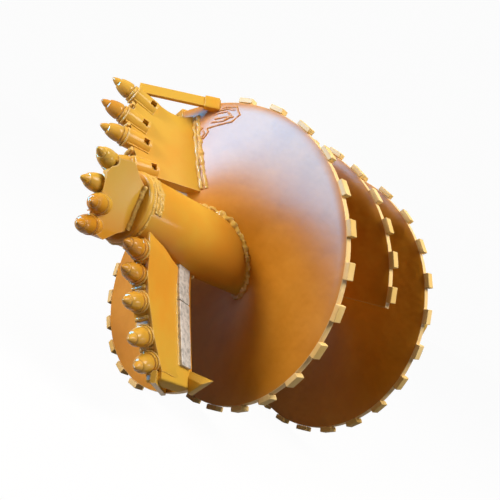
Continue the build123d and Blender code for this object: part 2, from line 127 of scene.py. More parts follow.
# Sleeves of the two cutters as the CAD has them: place of the back end, height of the front end, fan in
# degrees, and how far the sleeve stands ahead of the cutter's middle plane
SLEEVE_RADIUS = 0.030
SLEEVE_LENGTH = 0.085
SLEEVES = {
    "main": (
        (0.184, 0.238, -3, 0.0),
        (0.263, 0.262, 10, 0.0),
        (0.331, 0.263, 19, 0.0),
        (0.415, 0.229, 26, 0.0),
    ),
    "second": (
        (0.143, 0.278, 5, 0.015),
        (0.200, 0.253, 6, -0.007),
        (0.266, 0.247, 15, -0.007),
        (0.347, 0.224, 22, -0.007),
        (0.408, 0.195, 24, -0.007),
    ),
}

# Pilot plate on the tube's cap: clock angle, distance of its face from the axis, and half its root
PILOT_CLOCK = math.radians(21.0)
PILOT_FACE = 0.067
PILOT_ROOT_HALF = 0.063
PILOT_BACK = -0.2916
PILOT_BEAD_RISE = 0.002

# Bead round the tube's front end and the patch of weld behind part of it: sink into the tube, rows behind
# the cap, and clock angles in degrees
CAP_BEAD_SINK = 0.002
CAP_PATCH_SINK = 0.003
CAP_PATCH_ROWS = (0.012, 0.022, 0.031)
CAP_PATCH_CLOCK = (32.0, 107.0)

# Bare strips: spans along the cutter, width, thickness, lift above the flight's edge, growth in width
# towards the tube, gap to the cutter, and how far the top bead stands above, in bead radii
CUTTER_NAMES = {"main": "upper", "second": "lower"}
STRIP_SPANS = ((0.110, 0.2285), (0.2315, 0.426))
STRIP_WIDTH = 0.058
STRIP_THICKNESS = 0.012
STRIP_LIFT = 0.001
STRIP_TAPER = 0.030
STRIP_GAP = 0.0003
STRIP_BEAD_RISE = 0.3

# Facing over the lower sleeves: thickness, drop below the collars, how proud it stands, rows up the face,
# share of the strip's width it starts above, how soon it swells over the sleeves, and the places of its
# columns along the foot
FACING_THICKNESS = 0.010
FACING_DROP = 0.003
FACING_PROUD = 0.003
FACING_ROWS = 6
FACING_START = 0.7
FACING_SWELL = 1.6
FACING_FOOT = (0.115, 0.150, 0.205, 0.275, 0.355, 0.415, 0.468)

# Fillers between the lower sleeves: drop of the top, depth, sag of the middle, overlap with the sleeves,
# front and thickness
FILLER_DROP = 0.004
FILLER_DEPTH = 0.036
FILLER_SAG = 0.006
FILLER_OVERLAP = 0.006
FILLER_FRONT = 0.024
FILLER_THICKNESS = 0.046

# Mass on the lower cutter's outer side: places along the cutter at its foot and top, height and thickness
CHEEK_INNER = (0.400, 0.462)
CHEEK_OUTER = (0.480, 0.490)
CHEEK_HEIGHT = 0.178
CHEEK_THICKNESS = 0.050

# Upper gauge bar: its ends in the auger's own frame and its thickness; and the block on its rear end: how
# much less it measures across the bar than out from it, its span along the bar, and its measure out
BAR_FRONT = (0.470, -0.127, -0.195)
BAR_BACK = (0.470, 0.024, 0.0)
BAR_THICKNESS = 0.016
BAR_PROUD = 0.018
BAR_BLOCK_SPAN = (0.216, 0.266)
BAR_BLOCK_WIDTH = 0.043

# Cutter welds: places and rows, in bead radii, of the beads at the foot, drop and sides of the sleeves'
# rings, shares of a sleeve's length along its fillets, and drop and ends of the beads between sleeves
FOOT_PLACES = tuple(0.165 + 0.045 * index for index in range(7))
FOOT_ROWS = (0.3, 1.7)
RING_DROP = 0.003
RING_SIDES = 28
FILLET_SHARES = (0.0, 0.45, 0.86)
SADDLE_DROP = 0.010
SADDLE_ENDS = (-0.022, 0.0, 0.018)

# Beads along the flights' roots: distance from the tube, and degrees left free at either end
ROOT_BEAD_GAP = 0.003
ROOT_BEAD_ENDS = (4, 1)

# Weld beads: share of the heavy bead's radius, and lumpiness
BEADS = {
    "root": (1.1, 1.5),
    "stray": (0.36, 0.9),
    "foot": (0.85, 1.2),
    "saddle": (0.7, 0.9),
    "ring": (0.3, 0.4),
    "fillet": (0.4, 0.5),
    "strip_top": (0.55, 0.9),
    "strip_end": (0.7, 0.9),
    "cap": (0.6, 0.8),
    "cap_patch": (0.75, 1.2),
    "pilot_root": (1.0, 0.6),
}

# Making of a bead: sides, degrees per step round the axis, and waist, ripples' swell, pitch and merging
# distance in bead radii
BEAD_SIDES = 8
BEAD_TURN = 5.0
BEAD_WAIST = 0.9
BEAD_SWELL = 0.12
BEAD_PITCH = 1.1
BEAD_MERGE = 0.05

# Clouds that make beads and built-up plates uneven: scale and contrast
LUMPS = {"bead_lumps": (0.016, 1.6), "plate_lumps": (0.018, 1.0)}

# Copies of CAD nodes: distance at which points merge, and angles in degrees of faces taken as flat and of
# edges that are rounded; and the angle of the edges rounded on new boxes
MERGE_DISTANCE = 0.00002
FLAT_ANGLE = 0.6
NODE_EDGE_ANGLE = 38.0
BOX_EDGE_ANGLE = 50.0

# Steps in which a height on the flight and a place beside the tube are closed in on
HEIGHT_STEPS = 8
PLACE_STEPS = 24

# Rounding that differs from the plates' own, by the start of the node's name
ROUNDING = {"pilot_plate": 0.007, "tube_cap": 0.004, "wear_blocks": 0.0025, "gauge_wing": 0.003}

# Paints: thin and thick colour by their settings' names, pale wear and painted highlight along edges,
# weight and blur of the gloss, height of the skin, buckling of the plate, and how strong the painted
# highlight on the rim is
PAINTS = {
    "gloss_ochre": ("flight_paint", "paint_deep", 0.75, 0.28, 0.33, 0.12, 0.35, 0.8),
    "plate_ochre": ("paint", "flight_paint", 0.75, 0.36, 0.2, 0.12, 0.0, 0.0),
    "dull_ochre": ("paint", "flight_paint", 0.6, 0.1, 0.3, 0.5, 0.0, 0.0),
    # Wear blocks: pale cream all over, a painted highlight
    "block_painted_highlight": ("pale_wear_and_highlight", "weld", 0.6, 0.1, 0.3, 0.5, 0.0, 0.0),
    "tooth_ochre": ("paint", "paint_deep", 0.9, 0.5, 0.14, 0.08, 0.0, 0.0),
    "weld_ochre": ("weld", "paint", 1.0, 0.4, 0.14, 0.5, 0.0, 0.0),
}

# Depths below the flights' radius between which the painted highlight on the rim comes in
RIM_HIGHLIGHT_BAND = (0.0025, 0.0008)

# Shares of the bare metal's colour in its dark grain and in its pits
HARD_GRAIN = 0.42
HARD_PITS = 0.2

# Camera's right and forward directions, as the reference was held
CAMERA_RIGHT = (0.600, -0.632, 0.491)
CAMERA_FORWARD = (0.737, 0.675, -0.032)

# Floor's own colour, its glow, the share of the glow that the camera sees, and the backdrop's white
FLOOR_COLOUR = (0.20, 0.19, 0.18, 1)
FLOOR_GLOW = 1.12
FLOOR_SEEN = 0.86
BACKDROP_WHITE = 0.97
SKY_COLOUR = (0.93, 0.96, 1, 1)
WHITE = (1, 1, 1, 1)

# Softboxes: place from where the flights start, width, height, share of the key's power, and colour
SOFTBOXES = (
    ("key_softbox", (0.5, -2.2, 3.4), 2.2, 2.2, 1.0, (1.0, 0.97, 0.92)),
    ("sky_softbox", (-2.0, 0.98, 0.42), 1.05, 1.7, 2.75, (0.03, 0.55, 1.0)),
    ("front_softbox", (-3.6, 1.3, 1.3), 1.2, 1.2, 0.76, (1.0, 0.96, 1.0)),
    ("side_softbox", (2.6, -2.85, 1.05), 1.2, 0.26, 0.09, (1.0, 1.0, 1.0)),
)

# Softboxes that only show in the gloss, and the one that never does
REFLECTED_ONLY = ("sky_softbox", "side_softbox")
UNREFLECTED = ("front_softbox",)

# Hook and loop of stray weld metal on the main flight: radius and clock angle
STRAY_WELDS = (
    (
        (0.450, 3.7),
        (0.462, 9.0),
        (0.463, 14.0),
        (0.438, 16.7),
        (0.411, 13.6),
        (0.395, 5.3),
        (0.388, 0.9),
    ),
    ((0.440, 5.0), (0.446, 10.0), (0.430, 13.0), (0.412, 9.0), (0.408, 3.0)),
    ((0.388, 0.9), (0.376, 2.2), (0.352, 0.0), (0.362, -3.0), (0.384, -3.4), (0.392, -1.0)),
    ((0.451, 6.0), (0.455, 10.0), (0.452, 13.5)),
    ((0.420, 4.5), (0.426, 9.0), (0.428, 13.5)),
    ((0.382, -0.8), (0.370, 0.2), (0.360, -1.2)),
)


def auger_matrix():
    """Turn and shift from the auger's own frame, z along its axis and x to the upper cutter."""
    cosine = math.cos(ROLL)
    sine = math.sin(ROLL)
    rows = (
        (0, 0, 1, START_X),
        (sine, -cosine, 0, AXIS_Y),
        (cosine, sine, 0, AXIS_Z),
        (0, 0, 0, 1),
    )
    return Matrix(rows)


AUGER = auger_matrix()


class AugerSizes(bpy.types.PropertyGroup):
    """Sizes that the finish needs beside the CAD nodes."""

    flight_radius: bpy.props.FloatProperty(
        name="Flight Radius", description="Outer radius of both flights", default=0.48, unit="LENGTH"
    )
    flight_thickness: bpy.props.FloatProperty(
        name="Flight Thickness",
        description="Plate thickness of the flights",
        default=0.025,
        unit="LENGTH",
    )
    flight_lead: bpy.props.FloatProperty(
        name="Flight Lead",
        description="Axial travel of a flight in one turn",
        default=0.54,
        unit="LENGTH",
    )
    edge_round: bpy.props.FloatProperty(
        name="Edge Rounding",
        description="Radius on the edges of cut plates",
        default=0.002,
        unit="LENGTH",
    )
    bead_radius: bpy.props.FloatProperty(
        name="Bead Radius", description="Radius of the heavy weld beads", default=0.009, unit="LENGTH"
    )


class AugerFinish(bpy.types.PropertyGroup):
    """Colours of the paint and the bare metal."""

    paint: bpy.props.FloatVectorProperty(
        name="Paint",
        description="Golden ochre of the tube and plates",
        default=(0.64, 0.375, 0.045),
        subtype="COLOR",
    )
    flight_paint: bpy.props.FloatVectorProperty(
        name="Flight Paint",
        description="Redder ochre of the flights",
        default=(0.68, 0.285, 0.026),
        subtype="COLOR",
    )
    paint_deep: bpy.props.FloatVectorProperty(
        name="Deep Paint",
        description="Thicker, browner paint",
        default=(0.54, 0.20, 0.010),
        subtype="COLOR",
    )
    # Pale paint on worn edges, also used as a painted highlight on edges, on the flights' rim and on the
    # wear blocks
    pale_wear_and_highlight: bpy.props.FloatVectorProperty(
        name="Pale Wear and Highlight",
        description="Pale paint on worn edges, and painted highlight on edges, rims and wear blocks",
        default=(0.90, 0.66, 0.30),
        subtype="COLOR",
    )
    weld: bpy.props.FloatVectorProperty(
        name="Weld", description="Thinly painted weld metal", default=(0.72, 0.45, 0.12), subtype="COLOR"
    )
    bare: bpy.props.FloatVectorProperty(
        name="Bare Steel",
        description="Hard-faced strips left bare",
        default=(0.66, 0.63, 0.58),
        subtype="COLOR",
    )


class AugerStage(bpy.types.PropertyGroup):
    """Camera, lights and floor."""

    camera_offset: bpy.props.FloatVectorProperty(
        name="Camera Offset",
        description="Camera from the point on the axis where the flights start",
        default=(-1.4853, -1.6032, 0.1293),
        subtype="TRANSLATION",
    )
    lens: bpy.props.FloatProperty(name="Lens", description="Focal length in millimetres", default=50.1)
    floor_size: bpy.props.FloatProperty(
        name="Floor Size", description="Side of the square floor", default=60.0, unit="LENGTH"
    )
    key_power: bpy.props.FloatProperty(
        name="Key Power", description="Softbox over the cutters in watts", default=200.0, unit="POWER"
    )
    sky_strength: bpy.props.FloatProperty(
        name="Sky Strength", description="Soft light from all round", default=0.08
    )


def deselect_all():
    """Leaves nothing selected or active."""
    for piece in bpy.context.selected_objects:
        piece.select_set(False)
    bpy.context.view_layer.objects.active = None


def make_active(piece):
    """Selects one piece alone and makes it active."""
    deselect_all()
    piece.select_set(True)
    bpy.context.view_layer.objects.active = piece


def open_edit(piece):
    """Opens one piece in edit mode with its selection as it is."""
    make_active(piece)
    bpy.ops.object.mode_set(mode="EDIT")


def edit(piece):
    """Opens one piece in edit mode with everything selected."""
    open_edit(piece)
    bpy.ops.mesh.select_all(action="SELECT")


def leave_edit():
    """Returns to object mode."""
    bpy.ops.object.mode_set(mode="OBJECT")


def clear_selection(piece):
    """Leaves nothing of a mesh selected."""
    open_edit(piece)
    bpy.ops.mesh.select_all(action="DESELECT")
    leave_edit()


def face_outward(piece):
    """Turns every face of a mesh outward."""
    edit(piece)
    bpy.ops.mesh.normals_make_consistent(inside=False)
    leave_edit()


def close_ends(piece):
    """Fills the open ends of a mesh and turns its faces outward."""
    edit(piece)
    bpy.ops.mesh.fill_holes(sides=0)
    leave_edit()
    face_outward(piece)


def add_bevel(piece, width, angle):
    """Rounding for the edges sharper than an angle in degrees."""
    bevel = piece.modifiers.new("rounded_edges", "BEVEL")
    bevel.width = width
    bevel.segments = 2
    bevel.limit_method = "ANGLE"
    bevel.angle_limit = math.radians(angle)


def add_lumps(piece, name, strength):
    """Uneven surface from one of the clouds."""
    cloud = bpy.data.textures.get(name) or bpy.data.textures.new(name, "CLOUDS")
    cloud.noise_scale, cloud.contrast = LUMPS[name]
    lumps = piece.modifiers.new("lumps", "DISPLACE")
    lumps.texture = cloud
    lumps.texture_coords = "LOCAL"
    lumps.strength = strength


def apply_modifiers(piece):
    """Applies every modifier of a piece in order."""
    make_active(piece)
    for name in [modifier.name for modifier in piece.modifiers]:
        bpy.ops.object.modifier_apply(modifier=name)


def smooth(piece, angle=35.0):
    """Shades a piece smooth across edges flatter than an angle in degrees."""
    make_active(piece)
    bpy.ops.object.shade_smooth_by_angle(angle=math.radians(angle))


def settle(piece, matrix, material, body, nodes=()):
    """Puts a finished piece in its place, with its finish, body and the nodes it stands for."""
    piece.data.transform(matrix)
    piece.matrix_world = Matrix.Identity(4)
    piece.data.materials.clear()
    piece.data.materials.append(material)
    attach(piece, body)
    if nodes:
        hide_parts(*nodes)


def rounded_copy(node, width, material):
    """Merged copy of a CAD node with its sharp edges rounded."""
    piece = bpy.data.objects.new(node + "_finish", frame["nodes"][node].data.copy())
    bpy.context.scene.collection.objects.link(piece)
    edit(piece)
    bpy.ops.mesh.remove_doubles(threshold=MERGE_DISTANCE)
    bpy.ops.mesh.dissolve_limited(angle_limit=math.radians(FLAT_ANGLE))
    leave_edit()
    add_bevel(piece, width, NODE_EDGE_ANGLE)
    apply_modifiers(piece)
    smooth(piece)
    flatten = piece.modifiers.new("flat_faces", "WEIGHTED_NORMAL")
    flatten.keep_sharp = True
    apply_modifiers(piece)
    settle(piece, Matrix.Identity(4), material, BODY, (node,))


class NodeBuilder:
    """Adds shader nodes to a tree in a row and links them by socket."""

    def __init__(self, tree):
        self.tree = tree
        self.column = 0

    def add(self, kind, inputs=None, **settings):
        """Adds a node, sets its own settings, and sets or links its inputs."""
        node = self.tree.nodes.new(kind)
        self.column += 1
        node.location = (self.column * 180, 0)
        for key, value in settings.items():
            setattr(node, key, value)
        for key, value in (inputs or {}).items():
            if isinstance(value, bpy.types.NodeSocket):
                self.tree.links.new(value, node.inputs[key])
            else:
                node.inputs[key].default_value = value
        return node


def mix_colour(nodes, factor, a, b):
    """Colour between two others by a factor."""
    node = nodes.add("ShaderNodeMix", data_type="RGBA")
    for socket, value in ((node.inputs[0], factor), (node.inputs[6], a), (node.inputs[7], b)):
        if isinstance(value, bpy.types.NodeSocket):
            nodes.tree.links.new(value, socket)
        else:
            socket.default_value = value
    return node.outputs[2]


def ramp(nodes, factor, low, high):
    """Value that climbs from 0 to 1 between two levels of a factor."""
    inputs = {"Value": factor, "From Min": low, "From Max": high}
    return nodes.add("ShaderNodeMapRange", inputs, interpolation_type="SMOOTHSTEP").outputs["Result"]


def calculate(nodes, operation, a, b):
    """Result of arithmetic on two values."""
    return nodes.add("ShaderNodeMath", {0: a, 1: b}, operation=operation).outputs[0]


def noise(nodes, place, scale, detail, roughness=0.5):
    """Noise texture at a place."""
    inputs = {"Vector": place, "Scale": scale, "Detail": detail, "Roughness": roughness}
    return nodes.add("ShaderNodeTexNoise", inputs).outputs["Fac"]


def empty_tree(owner):
    """Builder on the emptied node tree of a material or a world."""
    owner.use_nodes = True
    owner.node_tree.nodes.clear()
    return NodeBuilder(owner.node_tree)


def shade_group():
    """Node group for painted steel: colour drift, pale edges that are partly wear and partly painted
    highlight, grime, roughness and the paint's skin.
    """
    name = "painted_steel"
    if name in bpy.data.node_groups:
        return bpy.data.node_groups[name]
    tree = bpy.data.node_groups.new(name, "ShaderNodeTree")
    sockets = tree.interface
    for label, kind in (("Paint", "Color"), ("Deep", "Color"), ("Edge", "Color"), ("Wear", "Float")):
        sockets.new_socket(label, in_out="INPUT", socket_type="NodeSocket" + kind)
    for label, kind in (("Color", "Color"), ("Roughness", "Float"), ("Height", "Float")):
        sockets.new_socket(label, in_out="OUTPUT", socket_type="NodeSocket" + kind)
    nodes = NodeBuilder(tree)
    start = nodes.add("NodeGroupInput")
    place = nodes.add("ShaderNodeTexCoord").outputs["Object"]
    drift = noise(nodes, place, scale=2.6, detail=5.0, roughness=0.55)
    mottle = noise(nodes, place, scale=34.0, detail=6.0, roughness=0.6)
    skin = noise(nodes, place, scale=260.0, detail=2.0)
    rounded = nodes.add("ShaderNodeBevel", {"Radius": 0.005}, samples=4).outputs["Normal"]
    facing = nodes.add("ShaderNodeNewGeometry").outputs["Normal"]
    dot = nodes.add("ShaderNodeVectorMath", {0: rounded, 1: facing}, operation="DOT_PRODUCT")
    # Pale edges: partly real wear, partly a painted highlight where light would catch the edges
    edge = ramp(nodes, dot.outputs["Value"], 0.985, 0.80)
    drift_level = ramp(nodes, drift, 0.36, 0.68)
    colour = mix_colour(nodes, drift_level, start.outputs["Paint"], start.outputs["Deep"])
    speck = calculate(nodes, "MULTIPLY", ramp(nodes, mottle, 0.45, 0.80), 0.12)
    colour = mix_colour(nodes, speck, colour, start.outputs["Deep"])
    broken = calculate(nodes, "MULTIPLY", edge, mottle)
    wear_and_highlight = calculate(nodes, "MULTIPLY", broken, start.outputs["Wear"])
    colour = mix_colour(nodes, wear_and_highlight, colour, start.outputs["Edge"])
    rough = nodes.add("ShaderNodeMapRange", {"Value": drift, "To Min": 0.34, "To Max": 0.52})
    height = calculate(nodes, "ADD", calculate(nodes, "MULTIPLY", mottle, 0.5), skin)
    ends = {"Color": colour, "Roughness": rough.outputs["Result"], "Height": height}
    nodes.add("NodeGroupOutput", ends)
    return tree


def colour4(values):
    """Opaque colour."""
    return (*values, 1.0)


def rim_highlight_mask(nodes, place):
    """One on the flights' outer edge, where the rim gets a painted highlight, and nothing within it."""
    radius = bpy.context.scene.auger_sizes.flight_radius
    axis = {0: place, 1: (0, AXIS_Y, AXIS_Z)}
    arm = nodes.add("ShaderNodeVectorMath", axis, operation="SUBTRACT").outputs[0]
    arm = nodes.add("ShaderNodeVectorMath", {0: arm, 1: (0, 1, 1)}, operation="MULTIPLY").outputs[0]
    reach = nodes.add("ShaderNodeVectorMath", {0: arm}, operation="LENGTH").outputs["Value"]
    return ramp(nodes, reach, *(radius - depth for depth in RIM_HIGHLIGHT_BAND))


def painted(name):
    """One of the gloss paints over steel."""
    paint, deep, wear_and_highlight_share, coat, blur, bump, wave, rim = PAINTS[name]
    finish = bpy.context.scene.auger_finish
    edge = colour4(finish.pale_wear_and_highlight)
    material = bpy.data.materials.new(name)
    nodes = empty_tree(material)
    group = nodes.add("ShaderNodeGroup", node_tree=shade_group())
    group.inputs["Paint"].default_value = colour4(getattr(finish, paint))
    group.inputs["Deep"].default_value = colour4(getattr(finish, deep))
    group.inputs["Edge"].default_value = edge
    group.inputs["Wear"].default_value = wear_and_highlight_share
    place = nodes.add("ShaderNodeTexCoord").outputs["Object"]
    colour = group.outputs["Color"]
    # Painted highlight: the flights' rim turns pale as if lit
    if rim:
        rim_highlight_share = calculate(nodes, "MULTIPLY", rim_highlight_mask(nodes, place), rim)
        colour = mix_colour(nodes, rim_highlight_share, colour, edge)
    buckle = noise(nodes, place, scale=7.0, detail=3.0)
    swell = nodes.add("ShaderNodeBump", {"Height": buckle, "Strength": wave, "Distance": 0.05})
    skin = {
        "Height": group.outputs["Height"],
        "Normal": swell.outputs["Normal"],
        "Strength": bump,
        "Distance": 0.0006,
    }
    lift = nodes.add("ShaderNodeBump", skin)
    shader = nodes.add(
        "ShaderNodeBsdfPrincipled",
        {
            "Base Color": colour,
            "Roughness": group.outputs["Roughness"],
            "Normal": lift.outputs["Normal"],
            "Coat Weight": coat,
            "Coat Roughness": blur,
            "Coat IOR": 1.5,
            "Specular IOR Level": 0.0,
        },
    )
    nodes.add("ShaderNodeOutputMaterial", {"Surface": shader.outputs["BSDF"]})
    return material


def hard_faced(name):
    """Bare, rough hard-facing with dark pits."""
    bare = bpy.context.scene.auger_finish.bare
    grain_colour = colour4([value * HARD_GRAIN for value in bare])
    pit_colour = colour4([value * HARD_PITS for value in bare])
    material = bpy.data.materials.new(name)
    nodes = empty_tree(material)
    place = nodes.add("ShaderNodeTexCoord").outputs["Object"]
    grain = noise(nodes, place, scale=70.0, detail=8.0, roughness=0.7)
    pits = nodes.add("ShaderNodeTexVoronoi", {"Vector": place, "Scale": 85.0}, feature="F1")
    tone = mix_colour(nodes, ramp(nodes, grain, 0.40, 0.72), colour4(bare), grain_colour)
    tone = mix_colour(nodes, ramp(nodes, pits.outputs["Distance"], 0.16, 0.05), tone, pit_colour)
    lift = nodes.add("ShaderNodeBump", {"Height": grain, "Strength": 0.8, "Distance": 0.002})
    shader = nodes.add(
        "ShaderNodeBsdfPrincipled",
        {"Base Color": tone, "Metallic": 0.25, "Roughness": 0.55, "Normal": lift.outputs["Normal"]},
    )
    nodes.add("ShaderNodeOutputMaterial", {"Surface": shader.outputs["BSDF"]})
    return material


def finish_material(kind):
    """One of the paints, or else the bare metal, made on first use."""
    if kind in bpy.data.materials:
        return bpy.data.materials[kind]
    return painted(kind) if kind in PAINTS else hard_faced(kind)


def flight_section(name, sizes):
    """Rounded outline of a flight's plate where it stands on the tube."""
    inner = TUBE_RADIUS - FLIGHT_SINK
    width = sizes.flight_radius - inner
    bpy.ops.mesh.primitive_plane_add(size=1)
    piece = bpy.context.object
    piece.name = name
    edit(piece)
    bpy.ops.transform.resize(value=(width, sizes.flight_thickness, 1))
    bpy.ops.transform.rotate(value=math.radians(90), orient_axis="X", center_override=(0, 0, 0))
    middle = Vector((inner + width / 2, 0, sizes.flight_thickness / 2))
    bpy.ops.transform.translate(value=middle)
    bpy.ops.mesh.bevel(offset=sizes.edge_round, segments=2, affect="VERTICES")
    bpy.ops.mesh.delete(type="ONLY_FACE")
    leave_edit()
    clear_selection(piece)
    for edge in piece.data.edges:
        edge.select = edge_length(piece, edge) > width / 2
    open_edit(piece)
    bpy.ops.mesh.subdivide(number_cuts=FLIGHT_CUTS)
    leave_edit()
    return piece


def turn_section(piece, flight, sizes):
    """Turns a section along its flight's lead, from before the start to the end."""
    first = flight["start"] - FLIGHT_LEAD_IN
    span = flight["end"] - first
    screw = piece.modifiers.new("lead", "SCREW")
    screw.axis = "Z"
    screw.angle = math.radians(span)
    screw.screw_offset = sizes.flight_lead * span / 360
    screw.steps = int(span / FLIGHT_STEP)
    screw.render_steps = screw.steps
    apply_modifiers(piece)
    close_ends(piece)
    rise = sizes.flight_lead * -FLIGHT_LEAD_IN / 360
    turn = Matrix.Rotation(math.radians(first), 4, "Z")
    piece.data.transform(Matrix.Translation((0, 0, rise)) @ turn)


def cut_leading_edge(piece, flight, sizes):
    """Cuts a flight's start to its cutter's line."""
    edge_point, edge_normal = leading_plane(flight)
    highest = sizes.flight_lead * FLIGHT_CUT_REACH / 360
    clear_selection(piece)
    for vertex in piece.data.vertices:
        vertex.select = vertex.co.z < highest
    open_edit(piece)
    bpy.ops.mesh.select_mode(type="VERT")
    bpy.ops.mesh.bisect(plane_co=edge_point, plane_no=edge_normal, clear_inner=True, use_fill=True)
    leave_edit()
    smooth(piece)


def edge_length(piece, edge):
    """Length of a mesh edge."""
    a, b = (piece.data.vertices[index].co for index in edge.vertices)
    return (a - b).length


def cutter_axes(clock):
    """Outward, up-slope and trailing directions of a cutter, and a point on its root line."""
    turn = Matrix.Rotation(math.radians(clock), 3, "Z")
    along = Vector((math.cos(CUTTER_SWEEP), -math.sin(CUTTER_SWEEP), 0))
    ahead = Vector((-math.sin(CUTTER_SWEEP), -math.cos(CUTTER_SWEEP), 0))
    slope = turn @ (ahead * math.cos(CUTTER_ATTACK) + Vector((0, 0, -1)) * math.sin(CUTTER_ATTACK))
    origin = turn @ (Vector((CUTTER_ROOT, 0, 0)) - along * CUTTER_ROOT)
    along = turn @ along
    return along, slope, along.cross(slope), origin


def leading_plane(flight):
    """Point and trailing normal of the plane to which a flight's leading edge is cut."""
    normal, origin = cutter_axes(flight["start"])[2:]
    return origin + normal * (flight["setback"] - CUTTER_LEADING), normal


def cutter_point(flight, place, height, offset):
    """Point of a cutter by its place along the root, height up the slope and offset to the back."""
    along, slope, normal, origin = cutter_axes(flight["start"])
    return origin + along * place + slope * height + normal * (flight["setback"] + offset)


def polar(radius, clock, height):
    """Point about the auger's axis by its clock angle in degrees."""
    angle = math.radians(clock)
    return Vector((radius * math.cos(angle), radius * math.sin(angle), height))


def helix_points(flight, radius, first, last, axial):
    """Points along a flight at one radius between two clock angles, from its front face."""
    lead = bpy.context.scene.auger_sizes.flight_lead
    count = int((last - first) / BEAD_TURN)
    points = []
    for index in range(count + 1):
        clock = first + (last - first) * index / count
        points.append(polar(radius, clock, lead * (clock - flight["start"]) / 360 + axial))
    return points


def path_curve(points):
    """Curve through points, for a bead to follow."""
    data = bpy.data.curves.new("bead_path", "CURVE")
    data.dimensions = "3D"
    data.twist_mode = "MINIMUM"
    spline = data.splines.new("POLY")
    spline.points.add(len(points) - 1)
    for knot, point in zip(spline.points, points):
        knot.co = (*point, 1.0)
    path = bpy.data.objects.new("bead_path", data)
    bpy.context.scene.collection.objects.link(path)
    return path


def weld_bead(points, radius, lumps):
    """Rippled weld bead along points of the auger's own frame."""
    pitch = radius * BEAD_PITCH
    ripple = ((0.25, 1 + BEAD_SWELL), (0.45, 1.0), (0.30, 1 / (1 + BEAD_SWELL)))
    waist = radius * BEAD_WAIST
    bpy.ops.mesh.primitive_circle_add(vertices=BEAD_SIDES, radius=waist, rotation=(0, math.pi / 2, 0))
    piece = bpy.context.object
    bpy.ops.object.transform_apply(location=False, rotation=True, scale=False)
    edit(piece)
    for share, growth in ripple:
        bpy.ops.mesh.extrude_region_move(TRANSFORM_OT_translate={"value": (pitch * share, 0, 0)})
        bpy.ops.transform.resize(value=(1, growth, growth))
    leave_edit()
    path = path_curve(points)
    array = piece.modifiers.new("ripples", "ARRAY")
    array.fit_type = "FIT_CURVE"
    array.curve = path
    array.use_merge_vertices = True
    array.merge_threshold = radius * BEAD_MERGE
    follow = piece.modifiers.new("follow", "CURVE")
    follow.object = path
    follow.deform_axis = "POS_X"
    apply_modifiers(piece)
    close_ends(piece)
    add_lumps(piece, "bead_lumps", radius * lumps)
    apply_modifiers(piece)
    bpy.data.objects.remove(path)
    return piece


def bead(kind, points):
    """Path, radius and lumpiness of a bead of one of the kinds."""
    share, lumps = BEADS[kind]
    return points, bpy.context.scene.auger_sizes.bead_radius * share, lumps


def lay_beads(name, beads, material):
    """One piece from weld beads, each given by its path, radius and lumpiness."""
    piece = join_pieces([weld_bead(*one) for one in beads], name)
    smooth(piece, 60.0)
    settle(piece, AUGER, finish_material(material), BODY)


def flight_height(flight, place, offset):
    """Height up the cutter's slope at which a place and offset meet the flight's front face."""
    lead = bpy.context.scene.auger_sizes.flight_lead
    height = 0.0
    for _ in range(HEIGHT_STEPS):
        point = cutter_point(flight, place, height, offset)
        clock = math.degrees(math.atan2(point.y, point.x)) - flight["start"]
        clock = (clock + 180) % 360 - 180
        height += (point.z - lead * clock / 360) / math.sin(CUTTER_ATTACK)
    return height


def sleeve_point(sleeve, drop, aside=0.0):
    """Place and height of a point on a sleeve's axis below its front end, or aside of it."""
    back, front_height, fan = sleeve[:3]
    fan = math.radians(fan)
    reach = SLEEVE_LENGTH - drop
    place = back + reach * math.sin(fan) + aside * math.cos(fan)
    return place, front_height - drop * math.cos(fan) - aside * math.sin(fan)


def sleeve_side(flight, sleeve, side, face):
    """Line where a sleeve's side meets a face of its cutter, from the back end to the front."""
    half = math.sqrt(max(SLEEVE_RADIUS**2 - (face + sleeve[3]) ** 2, 0.0))
    drops = [SLEEVE_LENGTH * (1 - share) for share in FILLET_SHARES]
    line = [sleeve_point(sleeve, drop, side * half) for drop in drops]
    return [cutter_point(flight, place, height, face) for place, height in line]


def sleeve_ring(flight, sleeve, drop, radius):
    """Closed ring round a sleeve below its front end."""
    along, slope, normal = cutter_axes(flight["start"])[:3]
    fan = math.radians(sleeve[2])
    across = along * math.cos(fan) - slope * math.sin(fan)
    place, height = sleeve_point(sleeve, drop)
    middle = cutter_point(flight, place, height, -sleeve[3])
    turns = [2 * math.pi * index / RING_SIDES for index in range(RING_SIDES + 1)]
    return [middle + (across * math.cos(turn) + normal * math.sin(turn)) * radius for turn in turns]


def saddle_line(flight, inner, outer):
    """Line from front to back between two neighbouring sleeves."""
    place_in, height_in = sleeve_point(inner, SADDLE_DROP, SLEEVE_RADIUS)
    place_out, height_out = sleeve_point(outer, SADDLE_DROP, -SLEEVE_RADIUS)
    place = (place_in + place_out) / 2
    height = (height_in + height_out) / 2
    ahead = (inner[3] + outer[3]) / 2
    return [cutter_point(flight, place, height, end - ahead) for end in SADDLE_ENDS]


def tube_side(flight, height, offset, clearance):
    """Place along the cutter at which a height and offset clear the tube."""
    low, high = 0.0, 0.4
    for _ in range(PLACE_STEPS):
        place = (low + high) / 2
        if cutter_point(flight, place, height, offset).xy.length < TUBE_RADIUS + clearance:
            low = place
        else:
            high = place
    return high


def pilot_point(across, height, offset):
    """Point of the pilot by its place across, height above the cap and distance from the axis."""
    across_axis = Vector((math.cos(PILOT_CLOCK), math.sin(PILOT_CLOCK), 0))
    side_axis = across_axis.cross(Vector((0, 0, -1)))
    return across_axis * across + side_axis * offset + Vector((0, 0, PILOT_BACK - height))


def ring_points(radius, height, first=0.0, last=360.0):
    """Ring or arc about the auger's axis."""
    count = round((last - first) / BEAD_TURN)
    clocks = [first + (last - first) * index / count for index in range(count + 1)]
    return [polar(radius, clock, height) for clock in clocks]


